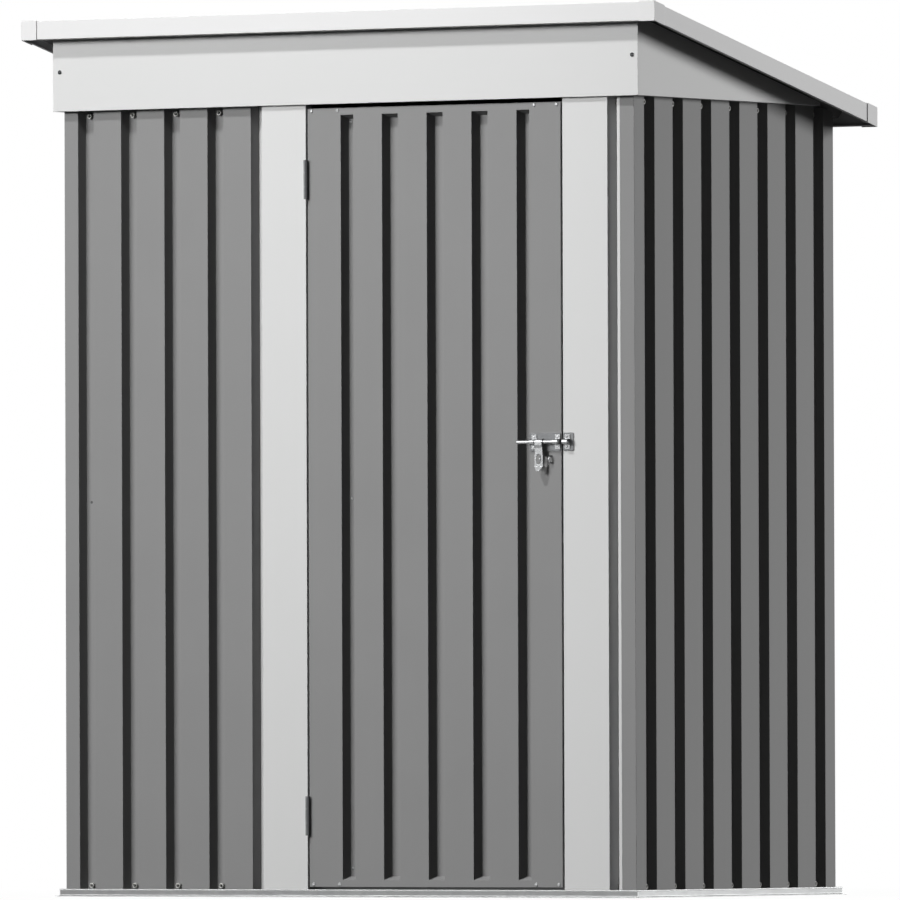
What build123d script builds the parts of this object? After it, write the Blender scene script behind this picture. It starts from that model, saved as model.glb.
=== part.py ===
from build123d import *
from math import atan, degrees, radians, tan
import os

os.makedirs("parts", exist_ok=True)

# Walls, measured over the flat outer ribs of the sheets
wall_width = 1410.0
wall_depth = 767.0
wall_height = 1620.0
sheet = 1.0

# Pressed grooves of the wall sheets
groove_pitch = 108.5
groove_width = 39.5
groove_depth = 19.0
groove_slope = 7.5
corner_flat_least = 25.0
lap = 22.0
lap_gap = 1.0

# Base rails, the folded channels that the sheets stand in
rail_height = 16.0
rail_sheet = 1.5
rail_proud = 10.0
rail_flange = 7.0
rail_hem_radius = 1.5
rail_bend = 2.5
rail_inner_height = 42.0

# Angle rails round the top of the walls
top_rail_height = 34.0
top_rail_width = 24.0
top_rail_drop = 8.0

# Front strips beside the doorway
strip_width = 109.2
strip_proud = 6.5
strip_slope = 7.6
strip_to_corner = 26.1
front_pitch_count = 4
jamb_lip = 12.0

# Door leaf
door_gap = 5.0
door_foot_gap = 5.0
door_head_gap = 8.5
door_sheet = 1.0
door_groove_pitch = 110.2
door_groove_margin = 78.5
door_groove_offset = 3.0
door_groove_narrowest = 25.0
door_groove_end = 14.5
door_frame_sheet = 1.2
door_frame_depth = 20.0
door_stile_width = 26.0
door_rail_width = 12.0

# Hinges
hinge_length = 81.0
hinge_inset = 146.5
hinge_barrel_radius = 4.2
hinge_pin_radius = 1.8
hinge_pin_gap = 0.3
hinge_axis_proud = 4.6
hinge_leaf = 1.5
hinge_leaf_depth = 19.0
hinge_leaf_set_back = 0.8
hinge_knuckle = 25.5
hinge_knuckle_gap = 0.4

# Sliding bolt with its hasp
bolt_height = 916.0
bolt_radius = 4.0
bolt_length = 102.0
bolt_chamfer = 1.0
bolt_gap = 0.4
bolt_stand_off = 7.5
bolt_travel = 22.0
plate_sheet = 1.5
plate_length = 75.5
plate_height = 37.0
plate_corner = 3.0
plate_edge_gap = 0.5
guide_width = 12.0
guide_sheet = 1.5
guide_foot = 9.0
guide_inset_left = 11.4
guide_inset_right = 7.1
keeper_width = 25.3
keeper_loop_inset = 10.6
hasp_width = 20.0
hasp_neck_width = 17.0
hasp_tip_width = 6.0
hasp_sheet = 1.8
hasp_length = 60.5
hasp_bend = 50.5
hasp_bend_out = 5.0
hasp_root = 6.0
hasp_crank = 12.0
hasp_stand_off = 2.0
hasp_sleeve_sheet = 2.1
hasp_gap_right = 1.5
hasp_slot_width = 11.0
hasp_slot_height = 22.0
staple_drop = 35.5
staple_wire = 1.75
staple_radius = 7.0
staple_reach = 9.5

# Fascia and gables under the roof
fascia_proud = 14.0
gable_proud = 19.0
fascia_flange_gap = 0.3
wall_tuck = 15.0
gable_tip = 6.0

# Roof
roof_pitch = 12.55
roof_front = 42.0
roof_back = 47.0
roof_side = 77.5
back_wall_drop = 11.5
roof_seat_gap = 0.4
roof_panel_lift = 18.0
roof_sheet = 1.0
roof_rib_count = 14
roof_rib_top = 52.0
roof_rib_slope = 10.0
roof_rib_height = 14.0
trim_height = 37.7
trim_sheet = 1.2
trim_top_flange = 24.0
trim_lower_flange = 8.0
cap_length = 38.0
cap_proud = 1.5


# How many grooves a sheet of this length has
def groove_count(length):
    return int((length - 2 * corner_flat_least - groove_width) / groove_pitch) + 1


# Where the first groove starts on a wall, with equal flats at both corners
def first_groove(length):
    return (length - (groove_count(length) - 1) * groove_pitch - groove_width) / 2


# Places that the sizes give
front_grooves = groove_count(wall_width)
side_grooves = groove_count(wall_depth)
front_first = first_groove(wall_width)
side_first = first_groove(wall_depth)
x_left = -wall_width / 2
x_right = wall_width / 2
y_front = -(roof_front + wall_depth + roof_back) / 2 + roof_front
y_back = y_front + wall_depth
z_rail = rail_height
z_fascia = z_rail + wall_height
z_floor = rail_sheet
z_top_rail = z_fascia - top_rail_drop
slope_tangent = tan(radians(roof_pitch))
frame_line = groove_depth + sheet
groove_foot_left = x_left + front_first + front_pitch_count * groove_pitch + groove_slope
groove_foot_right = x_right - front_first - groove_slope
x_jamb_left = groove_foot_left + groove_width - 2 * groove_slope + strip_width
x_jamb_right = x_right - front_first - strip_to_corner - strip_width
x_door_left = x_jamb_left + door_gap
x_door_right = x_jamb_right - door_gap
y_door = y_front - strip_proud
z_door_bottom = z_rail + door_foot_gap
z_door_top = z_fascia - door_head_gap
door_width = x_door_right - x_door_left
door_height = z_door_top - z_door_bottom
y_roof_front = y_front - roof_front
y_roof_back = y_back + roof_back
z_back_wall = z_fascia - back_wall_drop
z_trim_front = z_back_wall - roof_panel_lift + slope_tangent * (y_back - y_roof_front)


# Height of the underside of the roof sheets at a distance from front to back
def roof_under(y):
    return z_trim_front + roof_panel_lift - slope_tangent * (y - y_roof_front)


# Each wall has its own plane: x runs along the wall, y runs into the shed
wall_front = Plane(origin=(x_left, y_front, 0), x_dir=(1, 0, 0), z_dir=(0, 0, 1))
wall_right = Plane(origin=(x_right, y_front, 0), x_dir=(0, 1, 0), z_dir=(0, 0, 1))
wall_back = Plane(origin=(x_right, y_back, 0), x_dir=(-1, 0, 0), z_dir=(0, 0, 1))
wall_left = Plane(origin=(x_left, y_back, 0), x_dir=(0, -1, 0), z_dir=(0, 0, 1))
roof_cut = Plane(
    origin=(0, y_roof_front, roof_under(y_roof_front) - roof_seat_gap),
    z_dir=(0, slope_tangent, 1),
)


# A folded sheet: the outline of its outer face, thickened to one side
def folded(points, thickness):
    with BuildSketch() as section:
        with BuildLine():
            outer = Polyline(*points)
            offset(outer, amount=thickness, side=Side.LEFT, kind=Kind.INTERSECTION)
        make_face()
    return section.sketch


# Outline of a ribbed sheet that starts and ends in the bottom of a groove.
# Where it laps over the next sheet, its last groove is shallower by one sheet.
def ribbed_outline(start, grooves, laps_over=False):
    points = [(start + groove_slope + lap_gap, groove_depth)]
    for index in range(grooves - 1):
        left = start + index * groove_pitch
        points.append((left + groove_width - groove_slope, groove_depth))
        points.append((left + groove_width, 0))
        points.append((left + groove_pitch, 0))
        points.append((left + groove_pitch + groove_slope, groove_depth))
    if laps_over:
        foot = points.pop()[0]
        points.append((foot, groove_depth - sheet))
        points.append((foot + lap, groove_depth - sheet))
    else:
        end = start + (grooves - 1) * groove_pitch + groove_width
        points.append((end - groove_slope - lap_gap, groove_depth))
    return points


panel_top = z_fascia + wall_tuck


# Upright sheet from the floor of the base rail up to the roof
def wall_panel(plane, points):
    with BuildPart() as panel:
        with BuildSketch(plane.offset(z_floor)):
            add(folded(points, sheet))
        extrude(amount=panel_top - z_floor)
        split(bisect_by=roof_cut, keep=Keep.BOTTOM)
    return panel.part


# Front wall sheet, left of the doorway
with BuildPart() as front_panel:
    add(wall_panel(wall_front, ribbed_outline(front_first, front_pitch_count + 1)))
front_panel.part.label = "front_panel"
export_step(front_panel.part, "parts/front_panel.step")

# Side wall sheets
for side, plane in (("left", wall_left), ("right", wall_right)):
    with BuildPart() as side_panel:
        add(wall_panel(plane, ribbed_outline(side_first, side_grooves)))
    side_panel.part.label = f"side_panel_{side}"
    export_step(side_panel.part, f"parts/side_panel_{side}.step")

# Back wall, three sheets that lap in a groove
back_places = ("right", "middle", "left")
for index, place in enumerate(back_places):
    first = round(index * (front_grooves - 1) / len(back_places))
    last = round((index + 1) * (front_grooves - 1) / len(back_places))
    start = front_first + first * groove_pitch
    outline = ribbed_outline(start, last - first + 1, laps_over=place != "left")
    with BuildPart() as back_panel:
        add(wall_panel(wall_back, outline))
    back_panel.part.label = f"back_panel_{place}"
    export_step(back_panel.part, f"parts/back_panel_{place}.step")


# Corner post: an angle whose edges fold into the first groove of both walls
def corner_outline(before, after):
    lip = groove_depth - sheet
    return [
        (lip, before + groove_slope + lap),
        (lip, before + groove_slope),
        (0, before),
        (0, 0),
        (after, 0),
        (after + groove_slope, lip),
        (after + groove_slope + lap, lip),
    ]


corner_places = (
    ("front_left", wall_front, side_first, front_first),
    ("front_right", wall_right, front_first, side_first),
    ("back_right", wall_back, side_first, front_first),
    ("back_left", wall_left, front_first, side_first),
)
for place, plane, before, after in corner_places:
    with BuildPart() as corner_post:
        add(wall_panel(plane, corner_outline(before, after)))
    corner_post.part.label = f"corner_post_{place}"
    export_step(corner_post.part, f"parts/corner_post_{place}.step")


# Strip beside the doorway: lip in the groove, proud face, jamb and back lip
def strip_outline(lip_depth, lip_width):
    foot = -strip_width - strip_slope
    return [
        (foot - lip_width, lip_depth),
        (foot, lip_depth),
        (-strip_width, -strip_proud),
        (0, -strip_proud),
        (0, frame_line),
        (-jamb_lip, frame_line),
    ]


strip_lip_left = x_jamb_left - strip_width - strip_slope - groove_foot_left - 2 * lap_gap
strip_lip_right = groove_foot_right - x_jamb_right - strip_width - strip_slope - lap_gap
jamb_left_plane = Plane(origin=(x_jamb_left, y_front, z_floor), x_dir=(1, 0, 0), z_dir=(0, 0, 1))
jamb_right_plane = Plane(origin=(x_jamb_right, y_front, z_floor), x_dir=(1, 0, 0), z_dir=(0, 0, 1))

with BuildPart() as front_strip_left:
    with BuildSketch(jamb_left_plane):
        add(folded(strip_outline(groove_depth - sheet, strip_lip_left), sheet))
    extrude(amount=panel_top - z_floor)
front_strip_left.part.label = "front_strip_left"
export_step(front_strip_left.part, "parts/front_strip_left.step")

with BuildPart() as front_strip_right:
    with BuildSketch(jamb_right_plane):
        add(mirror(folded(strip_outline(groove_depth - 2 * sheet, strip_lip_right), sheet), about=Plane.YZ))
    extrude(amount=panel_top - z_floor)
front_strip_right.part.label = "front_strip_right"
export_step(front_strip_right.part, "parts/front_strip_right.step")


# Base rail: a channel with a low hemmed outer lip and a higher inner wall, mitred at both ends
def base_rail(plane, length):
    outer = -rail_proud
    edge = outer - rail_flange
    z_hem = rail_height - rail_hem_radius
    with BuildPart() as rail:
        with BuildSketch(Plane(origin=plane.origin, x_dir=plane.y_dir, z_dir=plane.x_dir)) as section:
            with BuildLine():
                Polyline(
                    (edge, 0),
                    (frame_line + rail_sheet, 0),
                    (frame_line + rail_sheet, rail_inner_height),
                    (frame_line, rail_inner_height),
                    (frame_line, rail_sheet),
                    (outer + rail_sheet, rail_sheet),
                    (outer + rail_sheet, z_hem),
                    (outer, z_hem),
                    (outer, rail_sheet),
                    (edge, rail_sheet),
                    close=True,
                )
            make_face()
            fillet(section.vertices().sort_by_distance((outer, rail_sheet))[0], rail_bend)
            with Locations((outer + rail_sheet / 2, z_hem)):
                Circle(rail_hem_radius)
        extrude(amount=length + rail_proud + rail_flange)
        extrude(rail.faces().sort_by(Axis(plane.origin, plane.x_dir))[0], amount=rail_proud + rail_flange)
        start_cut = Plane(origin=plane.origin, z_dir=plane.x_dir - plane.y_dir)
        end_point = plane.origin + plane.x_dir * length
        end_cut = Plane(origin=end_point, z_dir=-plane.x_dir - plane.y_dir)
        split(bisect_by=start_cut, keep=Keep.TOP)
        split(bisect_by=end_cut, keep=Keep.TOP)
    return rail.part


rail_places = (
    ("front", wall_front, wall_width),
    ("right", wall_right, wall_depth),
    ("back", wall_back, wall_width),
    ("left", wall_left, wall_depth),
)
for place, plane, length in rail_places:
    with BuildPart() as rail:
        add(base_rail(plane, length))
    rail.part.label = f"base_rail_{place}"
    export_step(rail.part, f"parts/base_rail_{place}.step")


# Top rail: an angle behind the sheets, with its shelf turned into the shed
def top_rail(plane, start, length):
    origin = plane.origin + plane.x_dir * start
    low = z_top_rail - top_rail_height
    with BuildPart() as rail:
        with BuildSketch(Plane(origin=origin, x_dir=plane.y_dir, z_dir=plane.x_dir)):
            with BuildLine():
                Polyline(
                    (frame_line, low),
                    (frame_line + top_rail_width, low),
                    (frame_line + top_rail_width, low + rail_sheet),
                    (frame_line + rail_sheet, low + rail_sheet),
                    (frame_line + rail_sheet, z_top_rail),
                    (frame_line, z_top_rail),
                    close=True,
                )
            make_face()
        extrude(amount=length)
        split(bisect_by=roof_cut, keep=Keep.BOTTOM)
    return rail.part


side_rail_start = frame_line + top_rail_width
top_rail_places = (
    ("front", wall_front, frame_line, wall_width - 2 * frame_line),
    ("right", wall_right, side_rail_start, wall_depth - 2 * side_rail_start),
    ("back", wall_back, frame_line, wall_width - 2 * frame_line),
    ("left", wall_left, side_rail_start, wall_depth - 2 * side_rail_start),
)
for place, plane, start, length in top_rail_places:
    with BuildPart() as rail:
        add(top_rail(plane, start, length))
    rail.part.label = f"top_rail_{place}"
    export_step(rail.part, f"parts/top_rail_{place}.step")

# Fascia over the doorway, with a flange that runs back to the wall
y_fascia = y_front - fascia_proud
fascia_flange = fascia_proud - fascia_flange_gap
with BuildPart() as front_fascia:
    with BuildSketch(Plane.YZ.offset(x_left - gable_proud)):
        with BuildLine():
            Polyline(
                (y_fascia, z_fascia),
                (y_fascia + sheet, z_fascia),
                (y_fascia + sheet, roof_under(y_fascia + sheet) - roof_seat_gap),
                (y_fascia, roof_under(y_fascia) - roof_seat_gap),
                close=True,
            )
        make_face()
    extrude(amount=wall_width + 2 * gable_proud)
    with BuildSketch(Plane.XY.offset(z_fascia)):
        with Locations((0, y_fascia + fascia_flange / 2)):
            Rectangle(wall_width + 2 * (gable_proud - sheet), fascia_flange)
        for jamb in (x_jamb_left - strip_width / 2, x_jamb_right + strip_width / 2):
            with Locations((jamb, y_front)):
                Rectangle(
                    strip_width + 2 * strip_slope,
                    2 * (strip_proud + fascia_flange_gap),
                    mode=Mode.SUBTRACT,
                )
    extrude(amount=sheet)
front_fascia.part.label = "front_fascia"
export_step(front_fascia.part, "parts/front_fascia.step")

# Gables: a wedge of sheet on each side that falls to nothing at the back
y_gable_front = y_front - fascia_proud + sheet
y_gable_tip = y_roof_front + (roof_under(y_roof_front) - roof_seat_gap - z_fascia - gable_tip) / slope_tangent
for side, x_wall, inward in (("left", x_left, 1), ("right", x_right, -1)):
    x_gable = x_wall - inward * gable_proud
    with BuildPart() as gable:
        with BuildSketch(Plane.YZ.offset(x_gable)):
            with BuildLine():
                Polyline(
                    (y_gable_front, z_fascia),
                    (y_gable_tip, z_fascia),
                    (y_gable_tip, roof_under(y_gable_tip) - roof_seat_gap),
                    (y_gable_front, roof_under(y_gable_front) - roof_seat_gap),
                    close=True,
                )
            make_face()
        extrude(amount=inward * sheet)
        flange_width = gable_proud - fascia_flange_gap
        with BuildSketch(Plane.XY.offset(z_fascia)):
            with Locations((x_gable + inward * flange_width / 2, (y_front + y_gable_tip) / 2)):
                Rectangle(flange_width, y_gable_tip - y_front)
        extrude(amount=sheet)
    gable.part.label = f"gable_{side}"
    export_step(gable.part, f"parts/gable_{side}.step")

# Roof sheets: ribs run down the slope, and the ends are cut upright
roof_width = wall_width + 2 * roof_side
roof_run = y_roof_back - y_roof_front
roof_length = roof_run * (1 + slope_tangent**2) ** 0.5
slope_direction = Vector(0, 1, -slope_tangent)
roof_rib_pitch = (roof_width - 2 * trim_sheet) / roof_rib_count


# Outline of the roof sheet over a run of ribs, from the middle of one pan to another
def roof_outline(first, count):
    points = [(first * roof_rib_pitch, 0)]
    pan = (roof_rib_pitch - roof_rib_top - 2 * roof_rib_slope) / 2
    for index in range(first, first + count):
        left = index * roof_rib_pitch + pan
        points.append((left, 0))
        points.append((left + roof_rib_slope, roof_rib_height))
        points.append((left + roof_rib_slope + roof_rib_top, roof_rib_height))
        points.append((left + 2 * roof_rib_slope + roof_rib_top, 0))
    points.append(((first + count) * roof_rib_pitch, 0))
    return points


roof_panel_ribs = (5, 4, 5)
roof_start = Plane(
    origin=(-roof_width / 2 + trim_sheet, y_roof_front + trim_sheet, roof_under(y_roof_front + trim_sheet)),
    x_dir=(1, 0, 0),
    z_dir=(0, -1, 0),
)
roof_panel_run = roof_length * (roof_run - 2 * trim_sheet) / roof_run
for index, place in enumerate(("left", "middle", "right")):
    outline = roof_outline(sum(roof_panel_ribs[:index]), roof_panel_ribs[index])
    with BuildPart() as roof_panel:
        with BuildSketch(roof_start):
            add(folded(outline, roof_sheet))
        extrude(amount=roof_panel_run, dir=slope_direction)
    roof_panel.part.label = f"roof_panel_{place}"
    export_step(roof_panel.part, f"parts/roof_panel_{place}.step")

# Front and back roof trims: a face, a top flange over the sheets and a lower lip
for place, y_face, inward in (("front", y_roof_front, 1), ("back", y_roof_back, -1)):
    z_low = z_trim_front - slope_tangent * (y_face - y_roof_front)

    # Point of the section, at a distance in from the face and a height over its lower edge
    def trim_point(inset, height):
        return (y_face + inward * inset, z_low + height - slope_tangent * inward * inset)

    with BuildPart() as roof_trim:
        with BuildSketch(Plane.YZ.offset(-roof_width / 2)):
            with BuildLine():
                Polyline(
                    trim_point(0, 0),
                    trim_point(trim_lower_flange, 0),
                    trim_point(trim_lower_flange, trim_sheet),
                    trim_point(trim_sheet, trim_sheet),
                    trim_point(trim_sheet, trim_height - trim_sheet),
                    trim_point(trim_top_flange, trim_height - trim_sheet),
                    trim_point(trim_top_flange, trim_height),
                    trim_point(0, trim_height),
                    close=True,
                )
            make_face()
        extrude(amount=roof_width)
    roof_trim.part.label = f"roof_trim_{place}"
    export_step(roof_trim.part, f"parts/roof_trim_{place}.step")

# Side roof trims run down the slope between the front and back trims
side_trim_start = y_roof_front + trim_top_flange
side_trim_run = roof_length * (roof_run - 2 * trim_top_flange) / roof_run
for side, x_face, inward in (("left", -roof_width / 2, 1), ("right", roof_width / 2, -1)):
    z_low = z_trim_front - slope_tangent * trim_top_flange
    trim_end = Plane(
        origin=(x_face, side_trim_start, z_low),
        x_dir=(inward, 0, 0),
        z_dir=(0, -inward, 0),
    )
    with BuildPart() as roof_trim:
        with BuildSketch(trim_end):
            with BuildLine():
                Polyline(
                    (0, 0),
                    (trim_lower_flange, 0),
                    (trim_lower_flange, trim_sheet),
                    (trim_sheet, trim_sheet),
                    (trim_sheet, trim_height - trim_sheet),
                    (trim_top_flange, trim_height - trim_sheet),
                    (trim_top_flange, trim_height),
                    (0, trim_height),
                    close=True,
                )
            make_face()
        extrude(amount=side_trim_run, dir=slope_direction)
    roof_trim.part.label = f"roof_trim_{side}"
    export_step(roof_trim.part, f"parts/roof_trim_{side}.step")

# Corner caps of the roof, folded over the ends of the trims
with BuildPart() as roof_corner_caps:
    for x_sign in (-1, 1):
        for y_start, y_wall in (
            (y_roof_front - cap_proud, y_roof_front - cap_proud),
            (y_roof_back + cap_proud - cap_length, y_roof_back),
        ):
            z_start = z_trim_front - slope_tangent * (y_start - y_roof_front)
            z_wall = z_trim_front - slope_tangent * (y_wall - y_roof_front)
            x_face = x_sign * roof_width / 2
            cap_end = Plane(
                origin=(x_face, y_start, z_start),
                x_dir=(x_sign, 0, 0),
                z_dir=(0, -x_sign, 0),
            )
            with BuildSketch(cap_end):
                with BuildLine():
                    Polyline(
                        (0, -cap_proud),
                        (cap_proud, -cap_proud),
                        (cap_proud, trim_height + cap_proud),
                        (cap_proud - cap_length, trim_height + cap_proud),
                        (cap_proud - cap_length, trim_height),
                        (0, trim_height),
                        close=True,
                    )
                make_face()
            extrude(amount=cap_length * (1 + slope_tangent**2) ** 0.5, dir=slope_direction)
            cap_side = Plane(
                origin=(x_face + x_sign * cap_proud, y_wall, z_wall),
                x_dir=(0, 1, 0),
                z_dir=(1, 0, 0),
            )
            with BuildSketch(cap_side):
                with BuildLine():
                    Polyline(
                        (0, -cap_proud),
                        (cap_proud, -cap_proud - slope_tangent * cap_proud),
                        (cap_proud, trim_height + cap_proud - slope_tangent * cap_proud),
                        (0, trim_height + cap_proud),
                        close=True,
                    )
                make_face()
            extrude(amount=-x_sign * cap_length)
roof_corner_caps.part.label = "roof_corner_caps"
export_step(roof_corner_caps.part, "parts/roof_corner_caps.step")

# Door leaf: one sheet with pressed grooves whose ends are closed
door_plane = Plane(
    origin=(x_door_left, y_door, z_door_bottom),
    x_dir=(1, 0, 0),
    z_dir=(0, -1, 0),
)
groove_taper = degrees(atan(groove_slope / groove_depth))
door_groove_length = door_height - 2 * door_groove_end
door_groove_span = door_width + groove_width - 2 * (door_groove_margin + door_groove_narrowest)
door_groove_count = int(door_groove_span / door_groove_pitch) + 1
door_groove_start = (door_width - (door_groove_count - 1) * door_groove_pitch - groove_width) / 2
door_groove_places = []
for index in range(door_groove_count):
    start = door_groove_start + index * door_groove_pitch
    left = max(start, door_groove_margin)
    right = min(start + groove_width, door_width - door_groove_margin)
    door_groove_places.append(((left + right) / 2 + door_groove_offset, right - left))
with BuildPart() as door_leaf:
    with BuildSketch(door_plane):
        with Locations((door_width / 2, door_height / 2)):
            Rectangle(door_width, door_height)
    extrude(amount=-door_sheet)
    for middle, width in door_groove_places:
        with BuildSketch(door_plane):
            with Locations((middle, door_height / 2)):
                Rectangle(width + 2 * door_sheet, door_groove_length + 2 * door_sheet)
        extrude(amount=-groove_depth - door_sheet, taper=groove_taper)
    for middle, width in door_groove_places:
        with BuildSketch(door_plane):
            with Locations((middle, door_height / 2)):
                Rectangle(width, door_groove_length)
        extrude(amount=-groove_depth, taper=groove_taper, mode=Mode.SUBTRACT)
door_leaf.part.label = "door_leaf"
export_step(door_leaf.part, "parts/door_leaf.step")

# Door frame: two channel stiles and two shallow channel rails behind the leaf
y_door_back = y_door + door_sheet


# Section of a channel with its web on one side and both flanges turned inwards
def channel(width, depth, thickness):
    with BuildSketch() as section:
        with BuildLine():
            Polyline(
                (0, 0),
                (width, 0),
                (width, thickness),
                (thickness, thickness),
                (thickness, depth - thickness),
                (width, depth - thickness),
                (width, depth),
                (0, depth),
                close=True,
            )
        make_face()
    return section.sketch


for side, x_web, x_turn in (("left", x_door_left, 1), ("right", x_door_right, -1)):
    stile_foot = Plane(
        origin=(x_web, y_door_back, z_door_bottom),
        x_dir=(x_turn, 0, 0),
        z_dir=(0, 0, x_turn),
    )
    with BuildPart() as door_stile:
        with BuildSketch(stile_foot):
            add(channel(door_stile_width, door_frame_depth, door_frame_sheet))
        extrude(amount=x_turn * door_height)
    door_stile.part.label = f"door_stile_{side}"
    export_step(door_stile.part, f"parts/door_stile_{side}.step")

x_rail = x_door_left + door_stile_width
door_rail_length = x_door_right - door_stile_width - x_rail
for place, z_web, z_turn in (("bottom", z_door_bottom, 1), ("top", z_door_top, -1)):
    rail_start = Plane(
        origin=(x_rail, y_door_back, z_web),
        x_dir=(0, 0, z_turn),
        z_dir=(-z_turn, 0, 0),
    )
    with BuildPart() as door_rail:
        with BuildSketch(rail_start):
            add(channel(door_rail_width, door_frame_depth, door_frame_sheet))
        extrude(amount=-z_turn * door_rail_length)
    door_rail.part.label = f"door_rail_{place}"
    export_step(door_rail.part, f"parts/door_rail_{place}.step")

# Butt hinges: three knuckles each, the middle one on the door and the others on the jamb
x_hinge = (x_jamb_left + x_door_left) / 2
y_hinge = y_door - hinge_axis_proud
hinge_middles = (z_door_bottom + hinge_inset, z_door_top - hinge_inset)

with BuildPart() as hinge_jamb_leaves:
    for middle in hinge_middles:
        bottom = middle - hinge_length / 2
        with BuildSketch(Plane.XY.offset(bottom)):
            with Locations((x_hinge, y_hinge)):
                Circle(hinge_pin_radius)
            with Locations((x_jamb_left, y_door + hinge_leaf_set_back)):
                Rectangle(hinge_leaf, hinge_leaf_depth, align=(Align.MIN, Align.MIN))
        extrude(amount=hinge_length)
        for low in (bottom, bottom + hinge_length - hinge_knuckle):
            with BuildSketch(Plane.XY.offset(low)):
                with Locations((x_hinge, y_hinge)):
                    Circle(hinge_barrel_radius)
                with Locations((x_jamb_left, y_hinge)):
                    Rectangle(
                        hinge_leaf,
                        hinge_axis_proud + hinge_leaf_set_back,
                        align=(Align.MIN, Align.MIN),
                    )
            extrude(amount=hinge_knuckle)
hinge_jamb_leaves.part.label = "hinge_jamb_leaves"
export_step(hinge_jamb_leaves.part, "parts/hinge_jamb_leaves.step")

with BuildPart() as hinge_door_leaves:
    for middle in hinge_middles:
        with BuildSketch(Plane.XY.offset(middle - hinge_length / 2)):
            with Locations((x_door_left, y_door + hinge_leaf_set_back)):
                Rectangle(hinge_leaf, hinge_leaf_depth, align=(Align.MAX, Align.MIN))
        extrude(amount=hinge_length)
        knuckle_length = hinge_length - 2 * hinge_knuckle - 2 * hinge_knuckle_gap
        with BuildSketch(Plane.XY.offset(middle - knuckle_length / 2)):
            with Locations((x_hinge, y_hinge)):
                Circle(hinge_barrel_radius)
            with Locations((x_door_left, y_hinge)):
                Rectangle(
                    hinge_leaf,
                    hinge_axis_proud + hinge_leaf_set_back,
                    align=(Align.MAX, Align.MIN),
                )
            with Locations((x_hinge, y_hinge)):
                Circle(hinge_pin_radius + hinge_pin_gap, mode=Mode.SUBTRACT)
        extrude(amount=knuckle_length)
hinge_door_leaves.part.label = "hinge_door_leaves"
export_step(hinge_door_leaves.part, "parts/hinge_door_leaves.step")

# Places of the bolt: it lies withdrawn, with its tip at the edge of the door
z_bolt = z_rail + bolt_height
y_bolt = y_door - plate_sheet - bolt_stand_off
x_bolt_tip = x_door_right
x_plate_right = x_door_right - plate_edge_gap
x_plate_left = x_plate_right - plate_length
x_guide_left = x_plate_left + guide_inset_left
x_guide_right = x_plate_right - guide_inset_right
x_hasp_thrown = x_guide_right - guide_width / 2 - hasp_gap_right - hasp_width / 2
x_hasp = x_hasp_thrown - bolt_travel
saddle_radius = bolt_radius + bolt_gap
hasp_sleeve_radius = saddle_radius + hasp_sleeve_sheet


# Flat plate with rounded corners, on the face of the door or of the strip flush with it
def face_plate(x_start, width):
    plate_middle = Plane(
        origin=(x_start + width / 2, y_door, z_bolt),
        x_dir=(1, 0, 0),
        z_dir=(0, -1, 0),
    )
    with BuildPart() as plate:
        with BuildSketch(plate_middle):
            RectangleRounded(width, plate_height, plate_corner)
        extrude(amount=plate_sheet)
    return plate.part


# Strap that is bent over the bolt, with a foot above and a foot below
def saddle(x_middle):
    y_base = y_door - plate_sheet
    outer = saddle_radius + guide_sheet
    with BuildPart() as strap:
        with BuildSketch(Plane(origin=(x_middle, y_base, z_bolt), x_dir=(0, -1, 0), z_dir=(-1, 0, 0))):
            with Locations((bolt_stand_off, 0)):
                Circle(outer)
            with Locations((bolt_stand_off / 2, 0)):
                Rectangle(bolt_stand_off, 2 * outer)
            with Locations((guide_sheet / 2, 0)):
                Rectangle(guide_sheet, 2 * (outer + guide_foot))
            with Locations((bolt_stand_off, 0)):
                Circle(saddle_radius, mode=Mode.SUBTRACT)
            with Locations((bolt_stand_off / 2, 0)):
                Rectangle(bolt_stand_off, 2 * saddle_radius, mode=Mode.SUBTRACT)
        extrude(amount=guide_width / 2, both=True)
    return strap.part


with BuildPart() as bolt_plate:
    add(face_plate(x_plate_left, plate_length))
bolt_plate.part.label = "bolt_plate"
export_step(bolt_plate.part, "parts/bolt_plate.step")

with BuildPart() as bolt_guides:
    for x_guide in (x_guide_left, x_guide_right):
        add(saddle(x_guide))
bolt_guides.part.label = "bolt_guides"
export_step(bolt_guides.part, "parts/bolt_guides.step")

# Keeper on the strip beside the door
x_keeper = x_jamb_right + plate_edge_gap
with BuildPart() as keeper_plate:
    add(face_plate(x_keeper, keeper_width))
keeper_plate.part.label = "keeper_plate"
export_step(keeper_plate.part, "parts/keeper_plate.step")

with BuildPart() as keeper_loop:
    add(saddle(x_keeper + keeper_loop_inset))
keeper_loop.part.label = "keeper_loop"
export_step(keeper_loop.part, "parts/keeper_loop.step")

# Round bolt
with BuildPart() as bolt_bar:
    with BuildSketch(Plane(origin=(x_bolt_tip - bolt_length, y_bolt, z_bolt), z_dir=(1, 0, 0))):
        Circle(bolt_radius)
    extrude(amount=bolt_length)
    chamfer(bolt_bar.edges().filter_by(GeomType.CIRCLE), bolt_chamfer)
bolt_bar.part.label = "bolt_bar"
export_step(bolt_bar.part, "parts/bolt_bar.step")

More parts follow.
